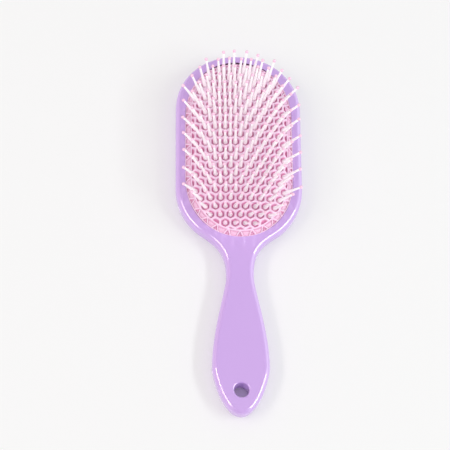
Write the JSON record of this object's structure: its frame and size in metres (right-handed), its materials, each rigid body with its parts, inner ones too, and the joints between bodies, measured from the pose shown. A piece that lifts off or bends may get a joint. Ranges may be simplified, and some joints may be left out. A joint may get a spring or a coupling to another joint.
{
  "type": "hair brush",
  "caption": "Paddle hair brush with an air-cushioned rubber pad, splayed ball-tipped pins and a handle with a hanging hole.",
  "frame": {"origin": "middle of the brush's bounding box at the plane its back rests on", "axes": "+X across the brush, +Y along it from the handle's end to the head, +Z out of the pad through the pins"},
  "size_m": [0.0836, 0.2522, 0.0411],
  "materials": {
    "shell_plastic": "glossy opaque lavender moulding",
    "pad_rubber": "satin pink rubber",
    "pin_nylon": "smooth white nylon with pale pink ball tips",
    "tip_nylon": "smooth pale pink ball tips"
  },
  "bodies": {
    "frame": {"front_shell": "shell_plastic", "back_shell": "shell_plastic", "rubber_pad": "pad_rubber"},
    "pins": {"pin_row_handle_01": "pin_nylon", "pin_row_handle_02": "pin_nylon", "pin_row_handle_03": "pin_nylon", "pin_row_handle_04": "pin_nylon", "pin_row_handle_05": "pin_nylon", "pin_row_handle_06": "pin_nylon", "pin_row_handle_07": "pin_nylon", "pin_row_handle_08": "pin_nylon", "pin_row_handle_09": "pin_nylon", "pin_row_handle_10": "pin_nylon", "pin_row_middle": "pin_nylon", "pin_row_head_10": "pin_nylon", "pin_row_head_09": "pin_nylon", "pin_row_head_08": "pin_nylon", "pin_row_head_07": "pin_nylon", "pin_row_head_06": "pin_nylon", "pin_row_head_05": "pin_nylon", "pin_row_head_04": "pin_nylon", "pin_row_head_03": "pin_nylon", "pin_row_head_02": "pin_nylon", "pin_row_head_01": "pin_nylon"}
  },
  "joints": [
    {"name": "pad_press", "type": "slide", "parent": "frame", "child": "pins", "axis": [0, 0, -1], "range_m": [0, 0.004], "stiffness_N_per_m": 1500, "deforming": ["rubber_pad"]}
  ]
}
